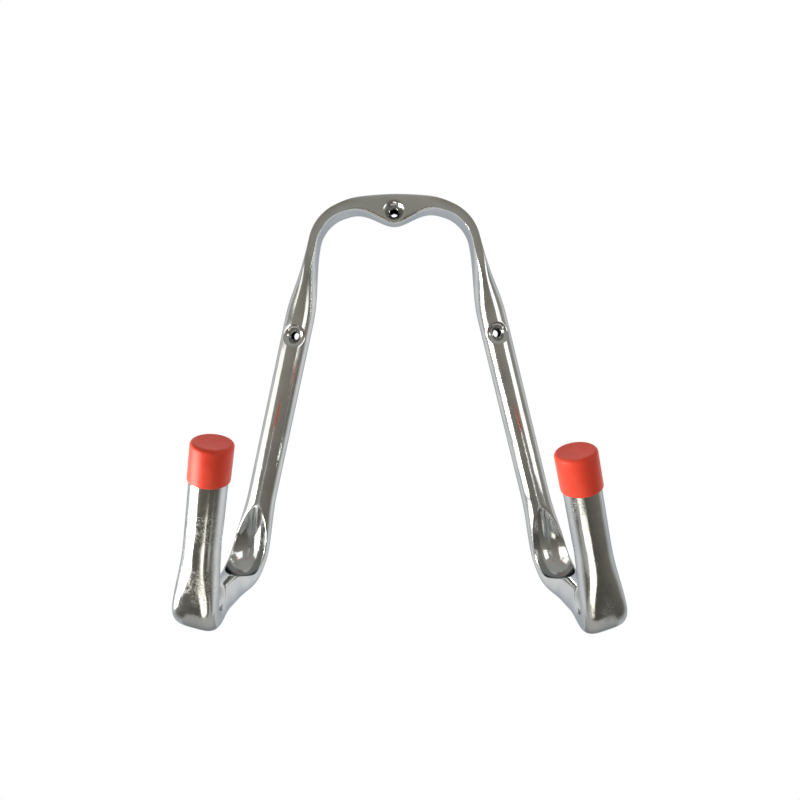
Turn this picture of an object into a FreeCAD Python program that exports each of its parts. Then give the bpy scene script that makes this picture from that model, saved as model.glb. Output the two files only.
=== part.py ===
import FreeCAD
import Part
import os
from math import asin, atan2, cos, hypot, pi, radians, sin, tan

# Double wall hook: one steel tube, bent as an arch whose two legs turn forward
# and up as hooks, with a soft cap on each end. Millimetres, Z up, +Y into the wall.
# The wall plane is Y = 0, and the origin is on it, on the axis of the top screw hole.

# Tube
TUBE_OD = 19.0
WALL = 1.2
TUBE_R = TUBE_OD / 2

# Arch: a wide crown arc, two corner arcs, two straight legs that lean outward
CROWN_RISE = 8.0
CROWN_RADIUS = 98.0
CORNER_RADIUS = 28.0
LEG_OFFSET = 47.8
LEG_LEAN = 13.6

# Hooks: each leg ends at its foot, turns forward, runs out and turns up again.
# The two arms were bent by hand, so their sizes differ a little.
FOOT_DROP = {"left": 221.0, "right": 225.5}
LOWER_RADIUS = 17.5
LOWER_TURN = 90.0
SPLAY = 4.7
RUN = 49.5
FRONT_RADIUS = 17.5
FRONT_TURN = 75.0
ARM_TWIST = {"left": 0.3, "right": 2.3}
UPRIGHT = {"left": 94.0, "right": 92.5}

# Crown and corners: the tube is pinched to a deep narrow strip in its tight
# corners, and swells toward the inside of the arch round the top hole
STRIP = 6.0
CROWN_OUTER = 3.7
CROWN_FRONT = 9.3
CORNER_FRONT = 15.5
BULGE = 11.6
BULGE_REACH = 30.0
CROWN_SQUARENESS = 6.0
STRIP_BACK_SQUARENESS = 3.0
RECOVERY = 54.0

# Hook bends: the former presses a scoop into the inner wall and spreads the tube
SCOOP_FLOOR = 1.5
SCOOP_NOSE = 9.0
SCOOP_LEAD = 46.0
SCOOP_CLEAR = 4.0
SEAM_HALF = 2.0
BEND_SPREAD = 2.9
FRONT_BEND_SPREAD = 2.7
OUTER_WALL_SINK = 1.8
FRONT_SQUARENESS = 3.6

# Screw holes: pressed countersinks in the front wall, plain holes in the back
HOLE_D = 5.5
SIDE_HOLE_DROP = 78.6
SINK_D = 14.0
SINK_DEPTH = 4.2
FUNNEL_LAND = 0.5

# End caps: soft dipped cups, stretched over the tube ends
CAP_FIT = 0.05
CAP_WALL = 0.9
CAP_TOP = 1.6
CAP_LENGTH = 20.5
CAP_BEVEL = 1.2
CAP_LIP = 0.4

# Points on the wall edge of a section and on its bore
WALL_POINTS = 16
BORE_POINTS = 12
FINE_POINTS = 360
TURN_WEIGHT = 2.5

VECTOR = FreeCAD.Vector
UP = VECTOR(0, 0, 1)
FORWARD = VECTOR(0, -1, 0)


def ease(x, start, stop):
    """Smooth step from 0 at start to 1 at stop."""
    t = min(1.0, max(0.0, (x - start) / (stop - start)))
    return t * t * (3 - 2 * t)


def bell(x, start, top_start, top_stop, stop):
    """0 outside start..stop, 1 between the two tops, eased on both flanks."""
    return ease(x, start, top_start) * (1 - ease(x, top_stop, stop))


def turned(vector, axis, angle):
    """The vector turned about the axis by an angle in degrees."""
    return FreeCAD.Rotation(axis, angle).multVec(vector)


class Half:
    """One half of the tube's centreline, measured from the crown's middle."""

    def __init__(self, side):
        self.side = side
        lean = radians(LEG_LEAN)
        inset = CROWN_RADIUS - CORNER_RADIUS
        # crown half-angle that lets crown arc, corner arc and leg line meet tangent
        rest = LEG_OFFSET - CORNER_RADIUS * cos(lean)
        rest -= tan(lean) * (CROWN_RISE - inset - CORNER_RADIUS * (1 - sin(lean)))
        self.crown_angle = asin(rest * cos(lean) / inset) - lean
        corner_angle = pi / 2 - lean - self.crown_angle
        self.crown = CROWN_RADIUS * self.crown_angle
        self.corner = self.crown + CORNER_RADIUS * corner_angle
        corner_z = CROWN_RISE - inset * (1 - cos(self.crown_angle)) - CORNER_RADIUS * (1 - sin(lean))
        self.leg = self.corner + (corner_z + FOOT_DROP[side]) / cos(lean)
        self.lower = self.leg + LOWER_RADIUS * radians(LOWER_TURN)
        self.run = self.lower + RUN
        self.front = self.run + FRONT_RADIUS * radians(FRONT_TURN)
        self.end = self.front + UPRIGHT[side]
        self.lower_mid = (self.leg + self.lower) / 2
        self.run_mid = (self.lower + self.run) / 2
        self.front_mid = (self.run + self.front) / 2
        self.side_hole = self.corner + (corner_z + SIDE_HOLE_DROP) / cos(lean)

    def arch(self, s):
        """Centre and heading angle below horizontal, on the crown and corner arcs."""
        if s <= self.crown:
            angle = s / CROWN_RADIUS
            x = CROWN_RADIUS * sin(angle)
            z = CROWN_RISE - CROWN_RADIUS * (1 - cos(angle))
            return VECTOR(x, -TUBE_R, z), angle
        angle = self.crown_angle + (min(s, self.corner) - self.crown) / CORNER_RADIUS
        inset = CROWN_RADIUS - CORNER_RADIUS
        x = inset * sin(self.crown_angle) + CORNER_RADIUS * sin(angle)
        z = CROWN_RISE - inset * (1 - cos(self.crown_angle)) - CORNER_RADIUS * (1 - cos(angle))
        return VECTOR(x, -TUBE_R, z), angle

    def hook(self, length):
        """Travel down the leg, travel forward and heading, for a length past the corner."""
        down = out = heading = 0.0
        stretches = [(self.leg - self.corner, None), (self.lower - self.leg, LOWER_RADIUS), (RUN, None),
                     (self.front - self.run, FRONT_RADIUS), (length, None)]
        for stretch, radius in stretches:
            step = min(length, stretch)
            if radius is None:
                down += step * cos(heading)
                out += step * sin(heading)
            else:
                down += radius * (sin(heading + step / radius) - sin(heading))
                out += radius * (cos(heading) - cos(heading + step / radius))
                heading += step / radius
            length -= step
        return down, out, heading

    def frame(self, s):
        """Centre, u toward the inside of the arch, v toward the inside of the hook."""
        centre, angle = self.arch(s)
        along = VECTOR(cos(angle), 0, -sin(angle))
        u = VECTOR(-sin(angle), 0, -cos(angle))
        if s <= self.corner:
            return centre, u, FORWARD
        splay = SPLAY * ease(s, self.leg - SCOOP_LEAD, self.leg)
        u = turned(u, along, -splay)
        forward = turned(FORWARD, along, -splay)
        down, out, heading = self.hook(s - self.corner)
        v = forward * cos(heading) - along * sin(heading)
        point = centre + along * down + forward * out
        if s > self.lower:
            down, out, heading = self.hook(self.lower - self.corner)
            axis = along * cos(heading) + forward * sin(heading)
            pivot = centre + along * down + forward * out
            twist = ARM_TWIST[self.side] * ease(s, self.lower, self.run)
            point = pivot + turned(point - pivot, axis, twist)
            u = turned(u, axis, twist)
            v = turned(v, axis, twist)
        return point, u, v

    def section(self, s):
        """Half-widths, squareness and scoop floor of the tube's section at s."""
        rounded = ease(s, self.corner - 3, self.corner - 3 + RECOVERY)
        half = STRIP / 2 + (TUBE_R - STRIP / 2) * rounded
        half += (CROWN_OUTER - STRIP / 2) * (1 - ease(s, self.crown - 12, self.crown + 4))
        half += BEND_SPREAD * bell(s, self.leg - 38, self.lower_mid - 8, self.lower_mid + 2, self.lower + 18)
        half += FRONT_BEND_SPREAD * bell(s, self.run - 20, self.front_mid - 2, self.front_mid + 2, self.front + 40)
        bulge = BULGE * (1 + cos(pi * min(1.0, s / BULGE_REACH))) / 2
        pinched = CROWN_FRONT + (CORNER_FRONT - CROWN_FRONT) * ease(s, 4, self.crown)
        pressed = bell(s, self.leg - 30, self.lower_mid, self.lower_mid, self.run_mid)
        pressed += bell(s, self.run_mid, self.front_mid, self.front_mid, self.front + 24)
        square_end = bell(s, self.run - 10, self.front_mid, self.front_mid, self.front + 30)
        dip = max(bell(s, self.leg - SCOOP_LEAD, self.leg - 2, self.lower_mid + 5, self.run_mid + 4),
                  bell(s, self.run_mid - 4, self.front_mid - 5, self.front + 2, self.front + SCOOP_LEAD))
        high = TUBE_R + SCOOP_CLEAR
        crown_square = 1 - ease(s, self.crown - 6, self.corner + 30)
        strip_square = 1 - ease(s, self.crown, self.corner + 36)
        return {
            "inner": half + bulge,
            "outer": half,
            "front": pinched + (TUBE_R - pinched) * rounded,
            "back": TUBE_R - OUTER_WALL_SINK * pressed,
            "front_square": 2 + (CROWN_SQUARENESS - 2) * crown_square,
            "back_square": 2 + (STRIP_BACK_SQUARENESS - 2) * strip_square + (FRONT_SQUARENESS - 2) * square_end,
            "floor": high - (high + SCOOP_FLOOR) * dip,
        }


def half_depth(reach, half, power):
    """Relative height of a superellipse at a distance from its middle."""
    return (1 - min(1.0, abs(reach) / half) ** power) ** (1 / power)


def rim_width(section, half):
    """Half-width at which the scoop meets the tube's own wall, or the narrow seam strip."""
    def gap(reach):
        wall = section["front"] * half_depth(reach, half, section["front_square"])
        return wall - section["floor"] - reach * reach / (2 * SCOOP_NOSE)

    low, high = SEAM_HALF, half
    if gap(low) <= 0:
        return SEAM_HALF
    for _ in range(30):
        middle = (low + high) / 2
        if gap(middle) > 0:
            low = middle
        else:
            high = middle
    return low


def evenly_spaced(line, count):
    """Points spread over a fine line, both by length and by turning, with both ends."""
    steps = [hypot(x1 - x0, y1 - y0) for (x0, y0), (x1, y1) in zip(line, line[1:])]
    mean = sum(steps) / len(steps)
    reach = [0.0]
    for step in steps:
        reach.append(reach[-1] + step / mean + TURN_WEIGHT)
    points = [line[0]]
    for i in range(1, count):
        k = next(j for j, length in enumerate(reach) if length > reach[-1] * i / count)
        points.append(line[k])
    return points + [line[-1]]


def outline(section):
    """Scoop edge and wall edge of the section as (u, v) points."""
    half = (section["inner"] + section["outer"]) / 2
    shift = (section["inner"] - section["outer"]) / 2
    front, back = section["front"], section["back"]
    rim = rim_width(section, half)
    rim_height = front * half_depth(rim, half, section["front_square"])
    crest = min(front, section["floor"])
    scoop = [(shift + rim, rim_height), (shift, 2 * crest - rim_height), (shift - rim, rim_height)]
    wall = []
    start = atan2(rim_height / front, rim / half)
    for i in range(FINE_POINTS + 1):
        angle = start - (pi + 2 * start) * i / FINE_POINTS
        across, high = cos(angle), sin(angle)
        power = section["front_square"] if high > 0 else section["back_square"]
        depth = front if high > 0 else back
        reach = ((across * across) ** (power / 2) + (high * high) ** (power / 2)) ** (-1 / power)
        wall.append((shift + half * across * reach, depth * high * reach))
    return scoop, evenly_spaced(wall, WALL_POINTS)


def bore_outline(section):
    """The bore as an ellipse between the two pressed walls, as (u, v) points."""
    shift = (section["inner"] - section["outer"]) / 2
    top = min(section["front"], section["floor"]) - WALL
    bottom = WALL - section["back"]
    middle = (top + bottom) / 2
    depth, power = section["front"], section["front_square"]
    if middle < 0:
        depth, power = section["back"], section["back_square"]
    half = (section["inner"] + section["outer"]) / 2 * half_depth(middle, depth, power) - WALL
    turns = [2 * pi * i / BORE_POINTS for i in range(BORE_POINTS)]
    return [(shift + half * cos(turn), middle + (top - bottom) / 2 * sin(turn)) for turn in turns]


def placed(half, s, line, mirrored):
    """Section points set on the tube's path at s."""
    centre, u, v = half.frame(s)
    points = [centre + u * across + v * high for across, high in line]
    if mirrored:
        points = [VECTOR(-point.x, point.y, point.z) for point in points]
    return points


def skin_ring(half, s, mirrored):
    """The section at s: two smooth edges that meet at the rims of the scoop."""
    scoop, wall = outline(half.section(s))
    trough = Part.BezierCurve()
    trough.setPoles(placed(half, s, scoop, mirrored))
    around = Part.BSplineCurve()
    evenly = [i / WALL_POINTS for i in range(WALL_POINTS + 1)]
    around.interpolate(Points=placed(half, s, wall, mirrored), Parameters=evenly)
    return [trough.toShape(), around.toShape()]


def bore_ring(half, s, mirrored):
    """The bore's section at s, in flats."""
    points = placed(half, s, bore_outline(half.section(s)), mirrored)
    return [Part.makeLine(a, b) for a, b in zip(points, points[1:] + points[:1])]


def stations(half, bore):
    """Places of the sections along one half, close where the shape changes fast."""
    lead = half.leg - SCOOP_LEAD
    tail = half.front + SCOOP_LEAD
    recovered = half.corner - 3 + RECOVERY
    past_hole = half.side_hole + SINK_D
    # length of each stretch, and its number of spans on the skin and on the bore
    stretches = [(12, 2, 2), (12, 4, 2), (half.crown - 24, 3, 2), (half.corner - half.crown, 4, 4),
                 (25, 5, 3), (recovered - half.corner - 25, 3, 2), (past_hole - recovered, 1, 1),
                 (lead - past_hole, 1, 1), (12, 1, 1), (17, 4, 2), (SCOOP_LEAD - 29, 2, 1),
                 (half.lower - half.leg, 5, 5),
                 (18, 3, 2), (RUN - 36, 1, 1), (18, 4, 2), (half.front - half.run, 4, 4),
                 (12, 2, 1), (18, 4, 2), (SCOOP_LEAD - 30, 1, 1), (half.end - tail, 1, 1)]
    places = [0]
    for length, skin_count, bore_count in stretches:
        count = bore_count if bore else skin_count
        start = places[-1]
        places += [start + length * (i + 1) / count for i in range(count)]
    return places


def through_sections(left, right, ring, bore):
    """Solid with a ruled face on every edge from section to section, end to end."""
    rings = [ring(left, s, True) for s in reversed(stations(left, bore))]
    rings += [ring(right, s, False) for s in stations(right, bore)[1:]]
    faces = [Part.Face(Part.Wire(rings[0])), Part.Face(Part.Wire(rings[-1]))]
    for here, following in zip(rings, rings[1:]):
        faces += [Part.makeRuledSurface(a, b) for a, b in zip(here, following)]
    shell = Part.makeShell(faces)
    shell.sewShape()
    return Part.makeSolid(shell)


def tube_end(half, mirrored):
    """Centre of the tube's open end and the direction out of it."""
    centre, below = half.frame(half.end)[0], half.frame(half.end - 1)[0]
    if mirrored:
        centre, below = VECTOR(-centre.x, centre.y, centre.z), VECTOR(-below.x, below.y, below.z)
    return centre, (centre - below).normalize()


def turned_solid(profile, origin, axis):
    """Solid turned from (radius, height) points about an axis through the origin."""
    points = [VECTOR(radius, 0, height) for radius, height in profile]
    face = Part.Face(Part.makePolygon(points + points[:1]))
    solid = face.revolve(VECTOR(0, 0, 0), UP, 360)
    solid.Placement = FreeCAD.Placement(origin, FreeCAD.Rotation(UP, axis))
    return solid


def end_cap(half, mirrored):
    """Soft cup over the tube's end: its inner top sits on the end, its skirt round the tube."""
    centre, out = tube_end(half, mirrored)
    inside = TUBE_R + CAP_FIT
    outside = inside + CAP_WALL
    skirt = CAP_LENGTH - CAP_TOP
    profile = [(0, 0), (inside, 0), (inside, -skirt), (outside - CAP_LIP, -skirt), (outside, CAP_LIP - skirt),
               (outside, CAP_TOP - CAP_BEVEL), (outside - CAP_BEVEL, CAP_TOP), (0, CAP_TOP)]
    return turned_solid(profile, centre, out)


def hole_places():
    """Centres of the three screw holes on the tube's front wall."""
    places = [VECTOR(0, -TUBE_R - CROWN_FRONT, 0)]
    for half, side in ((left_half, -1), (right_half, 1)):
        centre = half.frame(half.side_hole)[0]
        places.append(VECTOR(side * centre.x, -2 * TUBE_R, centre.z))
    return places


def funnel(place):
    """Metal pressed inward round a screw hole, before its sink is taken out."""
    lean = WALL * 2 ** 0.5
    depth = SINK_DEPTH + FUNNEL_LAND
    profile = [(0, 0), (SINK_D / 2 + lean, 0), (HOLE_D / 2 + lean, SINK_DEPTH), (HOLE_D / 2 + lean, depth), (0, depth)]
    return turned_solid(profile, place, -FORWARD)


def sink(place):
    """The countersink and the hole through both walls."""
    over = SINK_D / 2
    profile = [(0, -over), (SINK_D / 2 + over, -over), (HOLE_D / 2, SINK_DEPTH),
               (HOLE_D / 2, 3 * TUBE_R), (0, 3 * TUBE_R)]
    return turned_solid(profile, place, -FORWARD)


left_half = Half("left")
right_half = Half("right")
skin = through_sections(left_half, right_half, skin_ring, False)
bore = through_sections(left_half, right_half, bore_ring, True)
mouths = []
for half, mirrored in ((left_half, True), (right_half, False)):
    centre, out = tube_end(half, mirrored)
    mouths.append(Part.makeCylinder(TUBE_R - WALL, half.end - half.front - SCOOP_LEAD, centre, -out))

funnels = [funnel(place).common(skin) for place in hole_places()]
tube = skin.cut(bore).cut(mouths).fuse(funnels)
tube = tube.cut([sink(place) for place in hole_places()])

pieces = {
    "bent_tube": tube,
    "left_end_cap": end_cap(left_half, True),
    "right_end_cap": end_cap(right_half, False),
}
os.makedirs("parts", exist_ok=True)
for name, shape in pieces.items():
    if shape.ShapeType == "Compound" and len(shape.Solids) == 1:
        shape = shape.Solids[0]
    shape.exportStep("parts/" + name + ".step")
    print(name, shape.isValid(), len(shape.Solids), round(shape.Volume), shape.BoundBox)
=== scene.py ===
from math import asin, cos, hypot, pi, radians, sin, tan

import bmesh
import bpy
from mathutils import Matrix, Vector


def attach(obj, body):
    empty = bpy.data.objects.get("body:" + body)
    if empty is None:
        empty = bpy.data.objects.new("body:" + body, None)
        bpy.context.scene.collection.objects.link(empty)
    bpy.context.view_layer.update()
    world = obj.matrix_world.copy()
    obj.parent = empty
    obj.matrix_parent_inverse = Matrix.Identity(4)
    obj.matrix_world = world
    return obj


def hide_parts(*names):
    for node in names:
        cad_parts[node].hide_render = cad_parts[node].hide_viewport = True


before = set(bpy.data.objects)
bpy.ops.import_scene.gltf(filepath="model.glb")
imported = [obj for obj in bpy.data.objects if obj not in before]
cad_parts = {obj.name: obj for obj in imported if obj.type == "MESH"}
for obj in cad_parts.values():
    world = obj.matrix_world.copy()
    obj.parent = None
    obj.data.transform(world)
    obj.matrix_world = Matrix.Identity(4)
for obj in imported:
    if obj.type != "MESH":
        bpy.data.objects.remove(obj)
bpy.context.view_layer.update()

# Sizes in millimetres, turned into metres where a mesh is made
MM = 0.001

# Tube
TUBE_OD = 19.0
WALL = 1.2
TUBE_R = TUBE_OD / 2

# Arch
CROWN_RISE = 8.0
CROWN_RADIUS = 98.0
CORNER_RADIUS = 28.0
LEG_OFFSET = 47.8
LEG_LEAN = 13.6

# Hooks
FOOT_DROP = {"left": 221.0, "right": 225.5}
LOWER_RADIUS = 17.5
LOWER_TURN = 90.0
SPLAY = 4.7
RUN = 49.5
FRONT_RADIUS = 17.5
FRONT_TURN = 75.0
ARM_TWIST = {"left": 0.3, "right": 2.3}
UPRIGHT = {"left": 94.0, "right": 92.5}

# Pinched crown and corners
STRIP = 6.0
CROWN_OUTER = 3.7
CROWN_FRONT = 9.3
CORNER_FRONT = 15.5
BULGE = 11.6
BULGE_REACH = 30.0
CROWN_SQUARENESS = 8.0
STRIP_BACK_SQUARENESS = 3.0
RECOVERY = 54.0

# How far the changes of section reach before and after the points that section() names
RECOVERY_LEAD = 3
CROWN_EDGE = (12, 4)
LOWER_SPREAD = (38, 8, 2, 18)
FRONT_SPREAD = (20, 2, 2, 40)
PRESS_LEAD = 30
PRESS_RUN = 24
SQUARE_END = (10, 30)
PINCH_START = 4
CROWN_SQUARE_END = (6, 30)
STRIP_SQUARE_RUN = 36
LOWER_SCOOP = (2, 5, 4)
FRONT_SCOOP = (4, 5, 2)

# Scoops pressed into the hook bends
SCOOP_FLOOR = 1.5
SCOOP_NOSE = 9.0
SCOOP_LEAD = 46.0
SCOOP_CLEAR = 4.0
RIM_ROUND = 0.9
BEND_SPREAD = 2.9
FRONT_BEND_SPREAD = 2.7
OUTER_WALL_SINK = 1.8
FRONT_SQUARENESS = 3.6

# Screw holes
HOLE_R = 2.75
SIDE_HOLE_DROP = 78.6
SINK_R = 7.4
SINK_DEPTH = 4.4
SINK_CURVE = 1.5
CUTTER_LENGTH = 60
CUTTER_SIDES = 64

# End caps
CAP_FIT = 0.05
CAP_WALL = 0.9
CAP_TOP = 1.6
CAP_LENGTH = 20.5
CAP_ROUND = 1.8
CAP_DISH = 0.25
CAP_DISH_EDGE = 1.6
CAP_ARC_STEPS = 8

# Mesh fineness
RING = 132
BORE_RING = 44
COARSE_STEP = 3.0
BEND_STEP = 1.3
HOLE_STEP = 0.45
BORE_COARSENESS = 2.0
HOLE_MARGIN = 1
CAP_SEGMENTS = 96
SAME_POINT = 1e-6
NO_LENGTH = 1e-7
TUBE_SHARP_ANGLE = 50
CAP_SHARP_ANGLE = 40

# Where the scuffs on the front of the hooks begin and are full, in metres
SCUFF_BACK = -0.088
SCUFF_FRONT = -0.100


def ease(x, start, stop):
    """Smooth step from 0 at start to 1 at stop."""
    t = min(1.0, max(0.0, (x - start) / (stop - start)))
    return t * t * (3 - 2 * t)


def bell(x, start, top_start, top_stop, stop):
    """0 outside start..stop, 1 between the two tops, eased on both flanks."""
    return ease(x, start, top_start) * (1 - ease(x, top_stop, stop))


def turned(vector, axis, degrees):
    """The vector turned about the axis."""
    return Matrix.Rotation(radians(degrees), 3, axis) @ vector


class Half:
    """One half of the tube's centreline, measured from the crown's middle."""

    def __init__(self, side):
        self.side = side
        self.sign = -1 if side == "left" else 1
        lean = radians(LEG_LEAN)
        inset = CROWN_RADIUS - CORNER_RADIUS
        rest = LEG_OFFSET - CORNER_RADIUS * cos(lean)
        rest -= tan(lean) * (CROWN_RISE - inset - CORNER_RADIUS * (1 - sin(lean)))
        self.crown_angle = asin(rest * cos(lean) / inset) - lean
        corner_angle = pi / 2 - lean - self.crown_angle
        self.crown = CROWN_RADIUS * self.crown_angle
        self.corner = self.crown + CORNER_RADIUS * corner_angle
        corner_z = CROWN_RISE - inset * (1 - cos(self.crown_angle)) - CORNER_RADIUS * (1 - sin(lean))
        self.leg = self.corner + (corner_z + FOOT_DROP[side]) / cos(lean)
        self.lower = self.leg + LOWER_RADIUS * radians(LOWER_TURN)
        self.run = self.lower + RUN
        self.front = self.run + FRONT_RADIUS * radians(FRONT_TURN)
        self.end = self.front + UPRIGHT[side]
        self.lower_mid = (self.leg + self.lower) / 2
        self.run_mid = (self.lower + self.run) / 2
        self.front_mid = (self.run + self.front) / 2
        self.side_hole = self.corner + (corner_z + SIDE_HOLE_DROP) / cos(lean)

    def arch(self, s):
        """Centre and heading angle below horizontal, on the crown and corner arcs."""
        if s <= self.crown:
            angle = s / CROWN_RADIUS
            x = CROWN_RADIUS * sin(angle)
            z = CROWN_RISE - CROWN_RADIUS * (1 - cos(angle))
            return Vector((x, -TUBE_R, z)), angle
        angle = self.crown_angle + (min(s, self.corner) - self.crown) / CORNER_RADIUS
        inset = CROWN_RADIUS - CORNER_RADIUS
        x = inset * sin(self.crown_angle) + CORNER_RADIUS * sin(angle)
        z = CROWN_RISE - inset * (1 - cos(self.crown_angle)) - CORNER_RADIUS * (1 - cos(angle))
        return Vector((x, -TUBE_R, z)), angle

    def hook(self, length):
        """Travel down the leg, travel forward and heading, for a length past the corner."""
        down = out = heading = 0.0
        stretches = [(self.leg - self.corner, None), (self.lower - self.leg, LOWER_RADIUS), (RUN, None),
                     (self.front - self.run, FRONT_RADIUS), (length, None)]
        for stretch, radius in stretches:
            step = min(length, stretch)
            if radius is None:
                down += step * cos(heading)
                out += step * sin(heading)
            else:
                down += radius * (sin(heading + step / radius) - sin(heading))
                out += radius * (cos(heading) - cos(heading + step / radius))
                heading += step / radius
            length -= step
        return down, out, heading

    def frame(self, s):
        """Centre, u toward the inside of the arch, v toward the inside of the hook."""
        centre, angle = self.arch(s)
        forward = Vector((0, -1, 0))
        along = Vector((cos(angle), 0, -sin(angle)))
        u = Vector((-sin(angle), 0, -cos(angle)))
        if s <= self.corner:
            return centre, u, forward
        splay = SPLAY * ease(s, self.leg - SCOOP_LEAD, self.leg)
        u = turned(u, along, -splay)
        forward = turned(forward, along, -splay)
        down, out, heading = self.hook(s - self.corner)
        v = forward * cos(heading) - along * sin(heading)
        point = centre + along * down + forward * out
        if s > self.lower:
            down, out, heading = self.hook(self.lower - self.corner)
            axis = along * cos(heading) + forward * sin(heading)
            pivot = centre + along * down + forward * out
            twist = ARM_TWIST[self.side] * ease(s, self.lower, self.run)
            point = pivot + turned(point - pivot, axis, twist)
            u = turned(u, axis, twist)
            v = turned(v, axis, twist)
        return point, u, v

    def section(self, s):
        """Half-widths, squareness and scoop floor of the tube's section at s."""
        recovery = self.corner - RECOVERY_LEAD
        rounded = ease(s, recovery, recovery + RECOVERY)
        half = STRIP / 2 + (TUBE_R - STRIP / 2) * rounded
        lead, run = CROWN_EDGE
        half += (CROWN_OUTER - STRIP / 2) * (1 - ease(s, self.crown - lead, self.crown + run))
        lead, top_lead, top_run, run = LOWER_SPREAD
        half += BEND_SPREAD * bell(s, self.leg - lead, self.lower_mid - top_lead,
                                   self.lower_mid + top_run, self.lower + run)
        lead, top_lead, top_run, run = FRONT_SPREAD
        half += FRONT_BEND_SPREAD * bell(s, self.run - lead, self.front_mid - top_lead,
                                         self.front_mid + top_run, self.front + run)
        bulge = BULGE * (1 + cos(pi * min(1.0, s / BULGE_REACH))) / 2
        pinched = CROWN_FRONT + (CORNER_FRONT - CROWN_FRONT) * ease(s, PINCH_START, self.crown)
        pressed = bell(s, self.leg - PRESS_LEAD, self.lower_mid, self.lower_mid, self.run_mid)
        pressed += bell(s, self.run_mid, self.front_mid, self.front_mid, self.front + PRESS_RUN)
        lead, run = SQUARE_END
        square_end = bell(s, self.run - lead, self.front_mid, self.front_mid, self.front + run)
        lead, top_run, run = LOWER_SCOOP
        lower_dip = bell(s, self.leg - SCOOP_LEAD, self.leg - lead, self.lower_mid + top_run,
                         self.run_mid + run)
        lead, top_lead, run = FRONT_SCOOP
        front_dip = bell(s, self.run_mid - lead, self.front_mid - top_lead, self.front + run,
                         self.front + SCOOP_LEAD)
        high = TUBE_R + SCOOP_CLEAR
        lead, run = CROWN_SQUARE_END
        crown_square = 1 - ease(s, self.crown - lead, self.corner + run)
        strip_square = 1 - ease(s, self.crown, self.corner + STRIP_SQUARE_RUN)
        back_square = 2 + (STRIP_BACK_SQUARENESS - 2) * strip_square + (FRONT_SQUARENESS - 2) * square_end
        return {
            "inner": half + bulge,
            "outer": half,
            "front": pinched + (TUBE_R - pinched) * rounded,
            "back": TUBE_R - OUTER_WALL_SINK * pressed,
            "front_square": 2 + (CROWN_SQUARENESS - 2) * crown_square,
            "back_square": back_square,
            "floor": high - (high + SCOOP_FLOOR) * max(lower_dip, front_dip),
        }


def smooth_min(a, b, width):
    """The lesser of two heights, with the edge between them rounded."""
    share = min(1.0, max(0.0, 0.5 + 0.5 * (b - a) / width))
    return b + (a - b) * share - width * share * (1 - share)


def outline(section, inset, count):
    """Closed outline of the section, or of its bore by an inset, as (u, v) points."""
    half = (section["inner"] + section["outer"]) / 2 - inset
    middle = (section["inner"] - section["outer"]) / 2
    points = []
    for i in range(count):
        angle = 2 * pi * i / count
        across, high = cos(angle), sin(angle)
        power = section["front_square"] if high >= 0 else section["back_square"]
        reach = (abs(across) ** power + abs(high) ** power) ** (-1 / power)
        u = half * across * reach
        if high >= 0:
            former = section["floor"] - inset + u * u / (2 * (SCOOP_NOSE + inset))
            v = smooth_min((section["front"] - inset) * high * reach, former, RIM_ROUND)
        else:
            v = (section["back"] - inset) * high * reach
        points.append((u + middle, v))
    return points


def stations(half, coarseness):
    """Places of the rings along one half, close at the bends and round the screw holes."""
    places = [0.0]
    while places[-1] < half.end:
        s = places[-1]
        at_hole = min(abs(s), abs(s - half.side_hole)) < SINK_R + HOLE_MARGIN
        in_corner = half.crown < s < half.corner
        in_hook = half.leg - SCOOP_LEAD < s < half.front + SCOOP_LEAD
        step = HOLE_STEP if at_hole else BEND_STEP if in_corner or in_hook else COARSE_STEP
        places.append(min(half.end, s + step * coarseness))
    return places


def pressed_in(point, on_front, holes):
    """The point moved into the tube where a screw hole's sink is pressed."""
    if not on_front:
        return point
    for hole in holes:
        distance = hypot(point.x - hole.x, point.z - hole.z)
        if distance < SINK_R:
            share = min(1.0, (SINK_R - distance) / (SINK_R - HOLE_R))
            return point + Vector((0, SINK_DEPTH * share ** SINK_CURVE, 0))
    return point


def rings(halves, holes, inset, count, coarseness):
    """Every ring of the skin or bore, from the left end to the right end."""
    result = []
    for half in halves:
        places = stations(half, coarseness)
        order = reversed(places) if half.side == "left" else places[1:]
        for s in order:
            centre, u, v = half.frame(s)
            ring = []
            for across, high in outline(half.section(s), inset, count):
                point = centre + u * across + v * high
                point.x *= half.sign
                on_front = high > 0 and s < half.leg - SCOOP_LEAD
                ring.append(pressed_in(point, on_front, holes))
            result.append(ring)
    return result


def mesh_object(name, points, faces):
    """An object from points in millimetres and faces."""
    mesh = bpy.data.meshes.new(name)
    mesh.from_pydata([point * MM for point in points], [], faces)
    mesh.validate()
    obj = bpy.data.objects.new(name, mesh)
    bpy.context.collection.objects.link(obj)
    return obj


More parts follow.
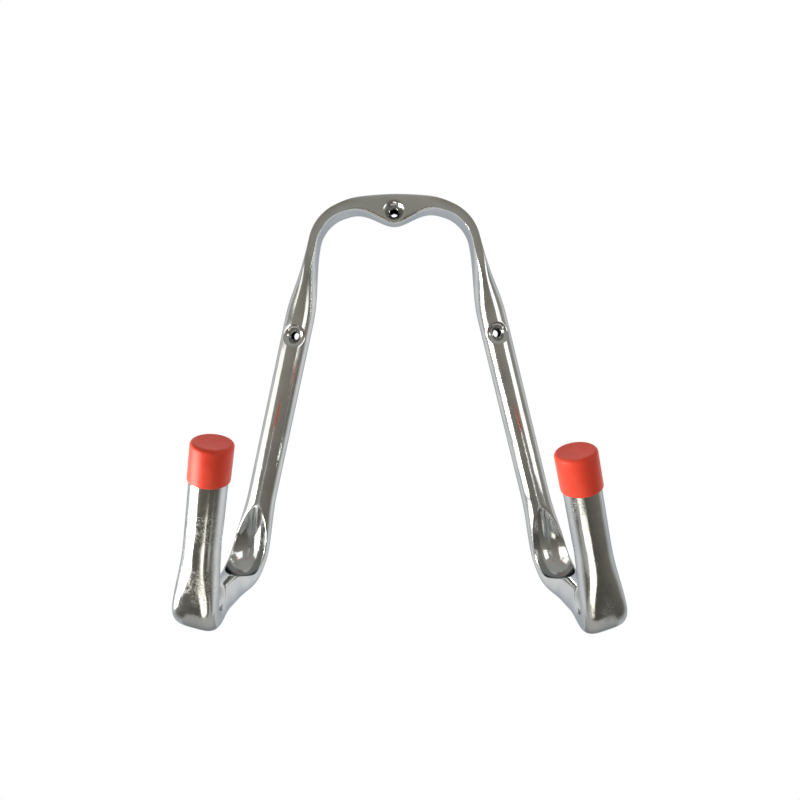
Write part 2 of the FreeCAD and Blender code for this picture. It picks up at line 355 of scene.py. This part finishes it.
def tube_mesh(halves, holes):
    """The whole tube: skin, bore and the two end rings between them."""
    skin = rings(halves, holes, 0.0, RING, 1.0)
    bore = rings(halves, holes, WALL, BORE_RING, BORE_COARSENESS)
    points = [point for ring in skin + bore for point in ring]
    faces = []
    first = 0
    for group, count, outward in ((skin, RING, True), (bore, BORE_RING, False)):
        for row in range(len(group) - 1):
            for i in range(count):
                j = (i + 1) % count
                a, b = first + row * count + i, first + row * count + j
                quad = (a, a + count, b + count, b)
                faces.append(quad if outward else quad[::-1])
        first += len(group) * count
    # each end ring joins one bore point to a fan of skin points
    fan = RING // BORE_RING
    bore_first = len(skin) * RING
    ends = [(0, bore_first, True),
            ((len(skin) - 1) * RING, bore_first + (len(bore) - 1) * BORE_RING, False)]
    for skin_start, bore_start, flip in ends:
        for i in range(BORE_RING):
            arc = [skin_start + (i * fan + k) % RING for k in range(fan + 1)]
            face = arc + [bore_start + (i + 1) % BORE_RING, bore_start + i]
            faces.append(face if flip else face[::-1])
    obj = mesh_object("tube_skin", points, faces)
    obj.data.materials.append(zinc())
    # the second material is for the bore, painted near black as painted shade
    obj.data.materials.append(painted_shade_bore_steel())
    # the faces were listed as skin, bore and end rings, and the bore takes the second material
    bore_faces = range((len(skin) - 1) * RING, len(faces) - 2 * BORE_RING)
    for polygon in obj.data.polygons:
        polygon.material_index = 1 if polygon.index in bore_faces else 0
    return obj


def drill(obj, holes):
    """Cuts the screw holes through both walls."""
    for hole in holes:
        bpy.ops.mesh.primitive_cylinder_add(vertices=CUTTER_SIDES, radius=HOLE_R * MM,
                                            depth=CUTTER_LENGTH * MM,
                                            location=Vector((hole.x, 0, hole.z)) * MM,
                                            rotation=(pi / 2, 0, 0))
        cutter = bpy.context.object
        cut = obj.modifiers.new("hole", "BOOLEAN")
        cut.object = cutter
        cut.solver = "EXACT"
        bpy.context.view_layer.update()
        drilled = obj.evaluated_get(bpy.context.evaluated_depsgraph_get())
        cut_mesh = bpy.data.meshes.new_from_object(drilled)
        obj.modifiers.clear()
        obj.data = cut_mesh
        bpy.data.objects.remove(cutter)


def smooth(obj, sharp_degrees):
    """Smooth shading, with edges kept sharp past an angle."""
    obj.data.polygons.foreach_set("use_smooth", [True] * len(obj.data.polygons))
    obj.data.set_sharp_from_angle(angle=radians(sharp_degrees))


def cap_mesh(name, half):
    """Soft cup over the tube's end, turned from its profile."""
    inside = TUBE_R + CAP_FIT
    outside = inside + CAP_WALL
    skirt = CAP_LENGTH - CAP_TOP
    lip = CAP_WALL / 2
    profile = [(0, 0), (inside, 0), (inside, lip - skirt)]
    for k in range(1, CAP_ARC_STEPS):
        angle = pi * k / CAP_ARC_STEPS
        profile.append((outside - lip - lip * cos(angle), lip - skirt - lip * sin(angle)))
    profile += [(outside, lip - skirt), (outside, CAP_TOP - CAP_ROUND)]
    for k in range(1, CAP_ARC_STEPS + 1):
        angle = pi * k / (2 * CAP_ARC_STEPS)
        profile.append((outside - CAP_ROUND * (1 - cos(angle)), CAP_TOP - CAP_ROUND * (1 - sin(angle))))
    profile += [(outside - CAP_ROUND - CAP_DISH_EDGE, CAP_TOP - CAP_DISH), (0, CAP_TOP - CAP_DISH)]
    centre = half.frame(half.end)[0]
    below = half.frame(half.end - 1)[0]
    for point in (centre, below):
        point.x *= half.sign
    turn = (centre - below).to_track_quat("Z", "Y")
    points = []
    for radius, height in profile:
        for k in range(CAP_SEGMENTS):
            angle = 2 * pi * k / CAP_SEGMENTS
            points.append(centre + turn @ Vector((radius * cos(angle), radius * sin(angle), height)))
    faces = []
    for row in range(len(profile) - 1):
        for k in range(CAP_SEGMENTS):
            a, b = row * CAP_SEGMENTS + k, row * CAP_SEGMENTS + (k + 1) % CAP_SEGMENTS
            faces.append((a, b, b + CAP_SEGMENTS, a + CAP_SEGMENTS))
    obj = mesh_object(name, points, faces)
    weld(obj)
    smooth(obj, CAP_SHARP_ANGLE)
    return obj


def weld(obj):
    """Joins the points that a profile leaves on its axis."""
    mesh = bmesh.new()
    mesh.from_mesh(obj.data)
    bmesh.ops.remove_doubles(mesh, verts=mesh.verts, dist=SAME_POINT)
    bmesh.ops.dissolve_degenerate(mesh, edges=mesh.edges, dist=NO_LENGTH)
    bmesh.ops.recalc_face_normals(mesh, faces=mesh.faces)
    mesh.to_mesh(obj.data)
    mesh.free()


# Materials

def new_material(name):
    """A material with its principled shader."""
    material = bpy.data.materials.new(name)
    material.use_nodes = True
    shader = material.node_tree.nodes["Principled BSDF"]
    return material, material.node_tree, shader


def noise(tree, scale, detail, stretch=(1, 1, 1)):
    """A noise texture in object coordinates."""
    nodes, links = tree.nodes, tree.links
    place = nodes.new("ShaderNodeTexCoord")
    mapping = nodes.new("ShaderNodeMapping")
    mapping.inputs["Scale"].default_value = stretch
    texture = nodes.new("ShaderNodeTexNoise")
    texture.inputs["Scale"].default_value = scale
    texture.inputs["Detail"].default_value = detail
    links.new(place.outputs["Object"], mapping.inputs["Vector"])
    links.new(mapping.outputs["Vector"], texture.inputs["Vector"])
    return texture.outputs["Fac"]


def ramp(tree, source, stops):
    """A colour ramp over a value: stops are (place, colour)."""
    node = tree.nodes.new("ShaderNodeValToRGB")
    elements = node.color_ramp.elements
    while len(elements) < len(stops):
        elements.new(0.5)
    for element, (place, colour) in zip(elements, stops):
        element.position = place
        element.color = (*colour, 1)
    tree.links.new(source, node.inputs["Fac"])
    return node.outputs["Color"]


def math_node(tree, operation, *values):
    """A maths node over sockets and plain numbers."""
    node = tree.nodes.new("ShaderNodeMath")
    node.operation = operation
    for socket, value in zip(node.inputs, values):
        if isinstance(value, float):
            socket.default_value = value
        else:
            tree.links.new(value, socket)
    return node.outputs[0]


def between(tree, source, low, high):
    """Smooth step of a value from 0 at low to 1 at high."""
    node = tree.nodes.new("ShaderNodeMapRange")
    node.interpolation_type = "SMOOTHSTEP"
    node.inputs["From Min"].default_value = low
    node.inputs["From Max"].default_value = high
    tree.links.new(source, node.inputs["Value"])
    return node.outputs["Result"]


def bump(tree, shader, source, strength, distance):
    """Adds a bump from a value to the shader's normal."""
    node = tree.nodes.new("ShaderNodeBump")
    node.inputs["Strength"].default_value = strength
    node.inputs["Distance"].default_value = distance
    tree.links.new(source, node.inputs["Height"])
    tree.links.new(node.outputs["Normal"], shader.inputs["Normal"])


def painted_shade_bore_steel():
    """The inside of the tube: bare steel that the plating hardly reaches, with its colour painted near
    black as painted shade inside the bore.
    """
    material, tree, shader = new_material("painted_shade_bore_steel")
    shader.inputs["Metallic"].default_value = 1.0
    # painted shade: the near-black colour stands in for the shadow inside the tube, not for the steel's
    # own colour
    colour = ramp(tree, noise(tree, 200, 4), [(0.3, (0.05, 0.05, 0.05)), (0.7, (0.09, 0.085, 0.08))])
    tree.links.new(colour, shader.inputs["Base Color"])
    shader.inputs["Roughness"].default_value = 0.6
    return material


def zinc():
    """Bright zinc plate: wavy like drawn tube, a little dulled, scuffed in the front of the hooks."""
    material, tree, shader = new_material("zinc_plated_steel")
    shader.inputs["Metallic"].default_value = 1.0
    shader.inputs["Specular Tint"].default_value = (0.45, 0.48, 0.52, 1)
    clouds = noise(tree, 60, 6)
    colour = ramp(tree, clouds, [(0.3, (0.53, 0.55, 0.56)), (0.7, (0.65, 0.65, 0.64))])
    tree.links.new(colour, shader.inputs["Base Color"])
    # scuffs: fine specks, gathered in patches on the front of the hooks
    parts = tree.nodes.new("ShaderNodeSeparateXYZ")
    tree.links.new(tree.nodes.new("ShaderNodeTexCoord").outputs["Object"], parts.inputs[0])
    front = between(tree, parts.outputs["Y"], SCUFF_BACK, SCUFF_FRONT)
    patches = between(tree, noise(tree, 42, 3), 0.46, 0.62)
    specks = between(tree, noise(tree, 1500, 5), 0.50, 0.64)
    scuffs = math_node(tree, "MULTIPLY", math_node(tree, "MULTIPLY", front, patches), specks)
    dull = math_node(tree, "MULTIPLY_ADD", noise(tree, 240, 8), 0.16, 0.06)
    dull = math_node(tree, "MULTIPLY_ADD", scuffs, 0.24, dull)
    tree.links.new(dull, shader.inputs["Roughness"])
    waves = math_node(tree, "MULTIPLY_ADD", noise(tree, 160, 2, (1, 1, 0.16)), 0.10, noise(tree, 34, 2))
    heights = math_node(tree, "MULTIPLY_ADD", scuffs, -0.03, waves)
    bump(tree, shader, heights, 0.5, 0.0009)
    return material


def vinyl():
    """Soft red vinyl with a satin skin."""
    material, tree, shader = new_material("red_vinyl")
    colour = ramp(tree, noise(tree, 120, 5), [(0.3, (0.74, 0.058, 0.030)), (0.7, (0.82, 0.075, 0.040))])
    tree.links.new(colour, shader.inputs["Base Color"])
    shader.inputs["Roughness"].default_value = 0.40
    shader.inputs["Specular IOR Level"].default_value = 0.22
    shader.inputs["Subsurface Weight"].default_value = 0.08
    shader.inputs["Subsurface Radius"].default_value = (0.002, 0.0006, 0.0004)
    bump(tree, shader, noise(tree, 900, 4), 0.05, 0.0002)
    return material


# Object

halves = (Half("left"), Half("right"))
holes = [Vector((0, 0, 0))]
for half in halves:
    hole = half.frame(half.side_hole)[0]
    holes.append(Vector((half.sign * hole.x, 0, hole.z)))

tube = tube_mesh(halves, holes)
drill(tube, holes)
smooth(tube, TUBE_SHARP_ANGLE)
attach(tube, "root")
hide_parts("bent_tube")

vinyl_material = vinyl()
for half in halves:
    cap = cap_mesh(half.side + "_cap_skin", half)
    cap.data.materials.append(vinyl_material)
    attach(cap, "root")
    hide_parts(half.side + "_end_cap")

# Stage, light and camera

FLOOR_Z = -2.0
FLOOR_SIZE = 2.6
FLOOR_MIDDLE = 0.55
LAMP_AIM = (0, -0.08, -0.17)

# Lamps: name, place, width and height in metres, power in watts, colour
LAMPS = [
    ("key_left", (-0.55, -0.25, -0.37), (0.34, 0.32), 4.8, (1.0, 0.97, 0.90)),
    ("window_left", (-0.68, -0.22, -0.27), (0.60, 0.70), 1.85, (1.0, 0.98, 0.94)),
    ("window_right", (0.56, -0.50, -0.08), (0.38, 0.35), 0.75, (1.0, 1.0, 1.0)),
    ("low_front", (-0.10, -0.45, -0.80), (0.40, 0.16), 0.45, (1.0, 0.96, 0.84)),
]

# The room's greys straight below, level with the hook and straight above
ROOM_BELOW = (0.06, 0.055, 0.045)
ROOM_LEVEL = (0.33, 0.31, 0.26)
ROOM_ABOVE = (0.42, 0.42, 0.40)

# The white behind the hook, and how far back a direction points where it starts and is full
ROOM_WHITE = (1.0, 1.0, 1.0)
WHITE_FROM = -0.10
WHITE_FULL = 0.55


def floor():
    """A plain pale floor, well below the hook."""
    bpy.ops.mesh.primitive_plane_add(size=FLOOR_SIZE, location=(0, FLOOR_MIDDLE, FLOOR_Z))
    plane = bpy.context.object
    plane.name = "floor"
    material, _, shader = new_material("floor_pale")
    shader.inputs["Base Color"].default_value = (0.86, 0.85, 0.83, 1)
    shader.inputs["Roughness"].default_value = 0.9
    shader.inputs["Specular IOR Level"].default_value = 0.0
    plane.data.materials.append(material)


def softbox(name, location, size, power, colour):
    """A rectangular lamp aimed at the hook: the metal mirrors it, the camera doesn't see it."""
    data = bpy.data.lights.new(name, "AREA")
    data.shape = "RECTANGLE"
    data.size, data.size_y = size
    data.energy = power
    data.color = colour
    light = bpy.data.objects.new(name, data)
    light.location = location
    aim = Vector(LAMP_AIM) - Vector(location)
    light.rotation_euler = aim.to_track_quat("-Z", "Y").to_euler()
    light.visible_camera = False
    bpy.context.collection.objects.link(light)


def blended(tree, factor, first, second):
    """The first socket's colour where the factor is 0, the second plain colour where it is 1."""
    node = tree.nodes.new("ShaderNodeMix")
    node.data_type = "RGBA"
    tree.links.new(factor, node.inputs["Factor"])
    tree.links.new(first, node.inputs["A"])
    node.inputs["B"].default_value = (*second, 1)
    return node.outputs["Result"]


def room():
    """A plain grey room, darker below, that turns white behind the hook."""
    world = bpy.data.worlds.new("room")
    bpy.context.scene.world = world
    world.use_nodes = True
    tree = world.node_tree
    parts = tree.nodes.new("ShaderNodeSeparateXYZ")
    tree.links.new(tree.nodes.new("ShaderNodeTexCoord").outputs["Generated"], parts.inputs[0])
    height = math_node(tree, "MULTIPLY_ADD", parts.outputs["Z"], 0.5, 0.5)
    walls = ramp(tree, height, [(0.0, ROOM_BELOW), (0.5, ROOM_LEVEL), (1.0, ROOM_ABOVE)])
    back = between(tree, parts.outputs["Y"], WHITE_FROM, WHITE_FULL)
    colour = blended(tree, back, walls, ROOM_WHITE)
    tree.links.new(colour, tree.nodes["Background"].inputs["Color"])


floor()
for lamp in LAMPS:
    softbox(*lamp)
room()

# The camera was fitted to the photograph's outlines
CAMERA_AT = (0.00207, -0.3865, -0.0957)
CAMERA_PITCH = 4.05
CAMERA_ROLL = 0.81
FOCAL_PIXELS = 560
IMAGE_PIXELS = 800
SENSOR = 36.0

camera_data = bpy.data.cameras.new("camera")
camera_data.sensor_width = SENSOR
camera_data.lens = SENSOR * FOCAL_PIXELS / IMAGE_PIXELS
camera_data.clip_start = 0.01
camera = bpy.data.objects.new("camera", camera_data)
tilt = Matrix.Rotation(radians(90 - CAMERA_PITCH), 4, "X") @ Matrix.Rotation(radians(-CAMERA_ROLL), 4, "Z")
camera.matrix_world = Matrix.Translation(CAMERA_AT) @ tilt
bpy.context.collection.objects.link(camera)
bpy.context.scene.camera = camera
bpy.context.scene.view_settings.view_transform = "Standard"
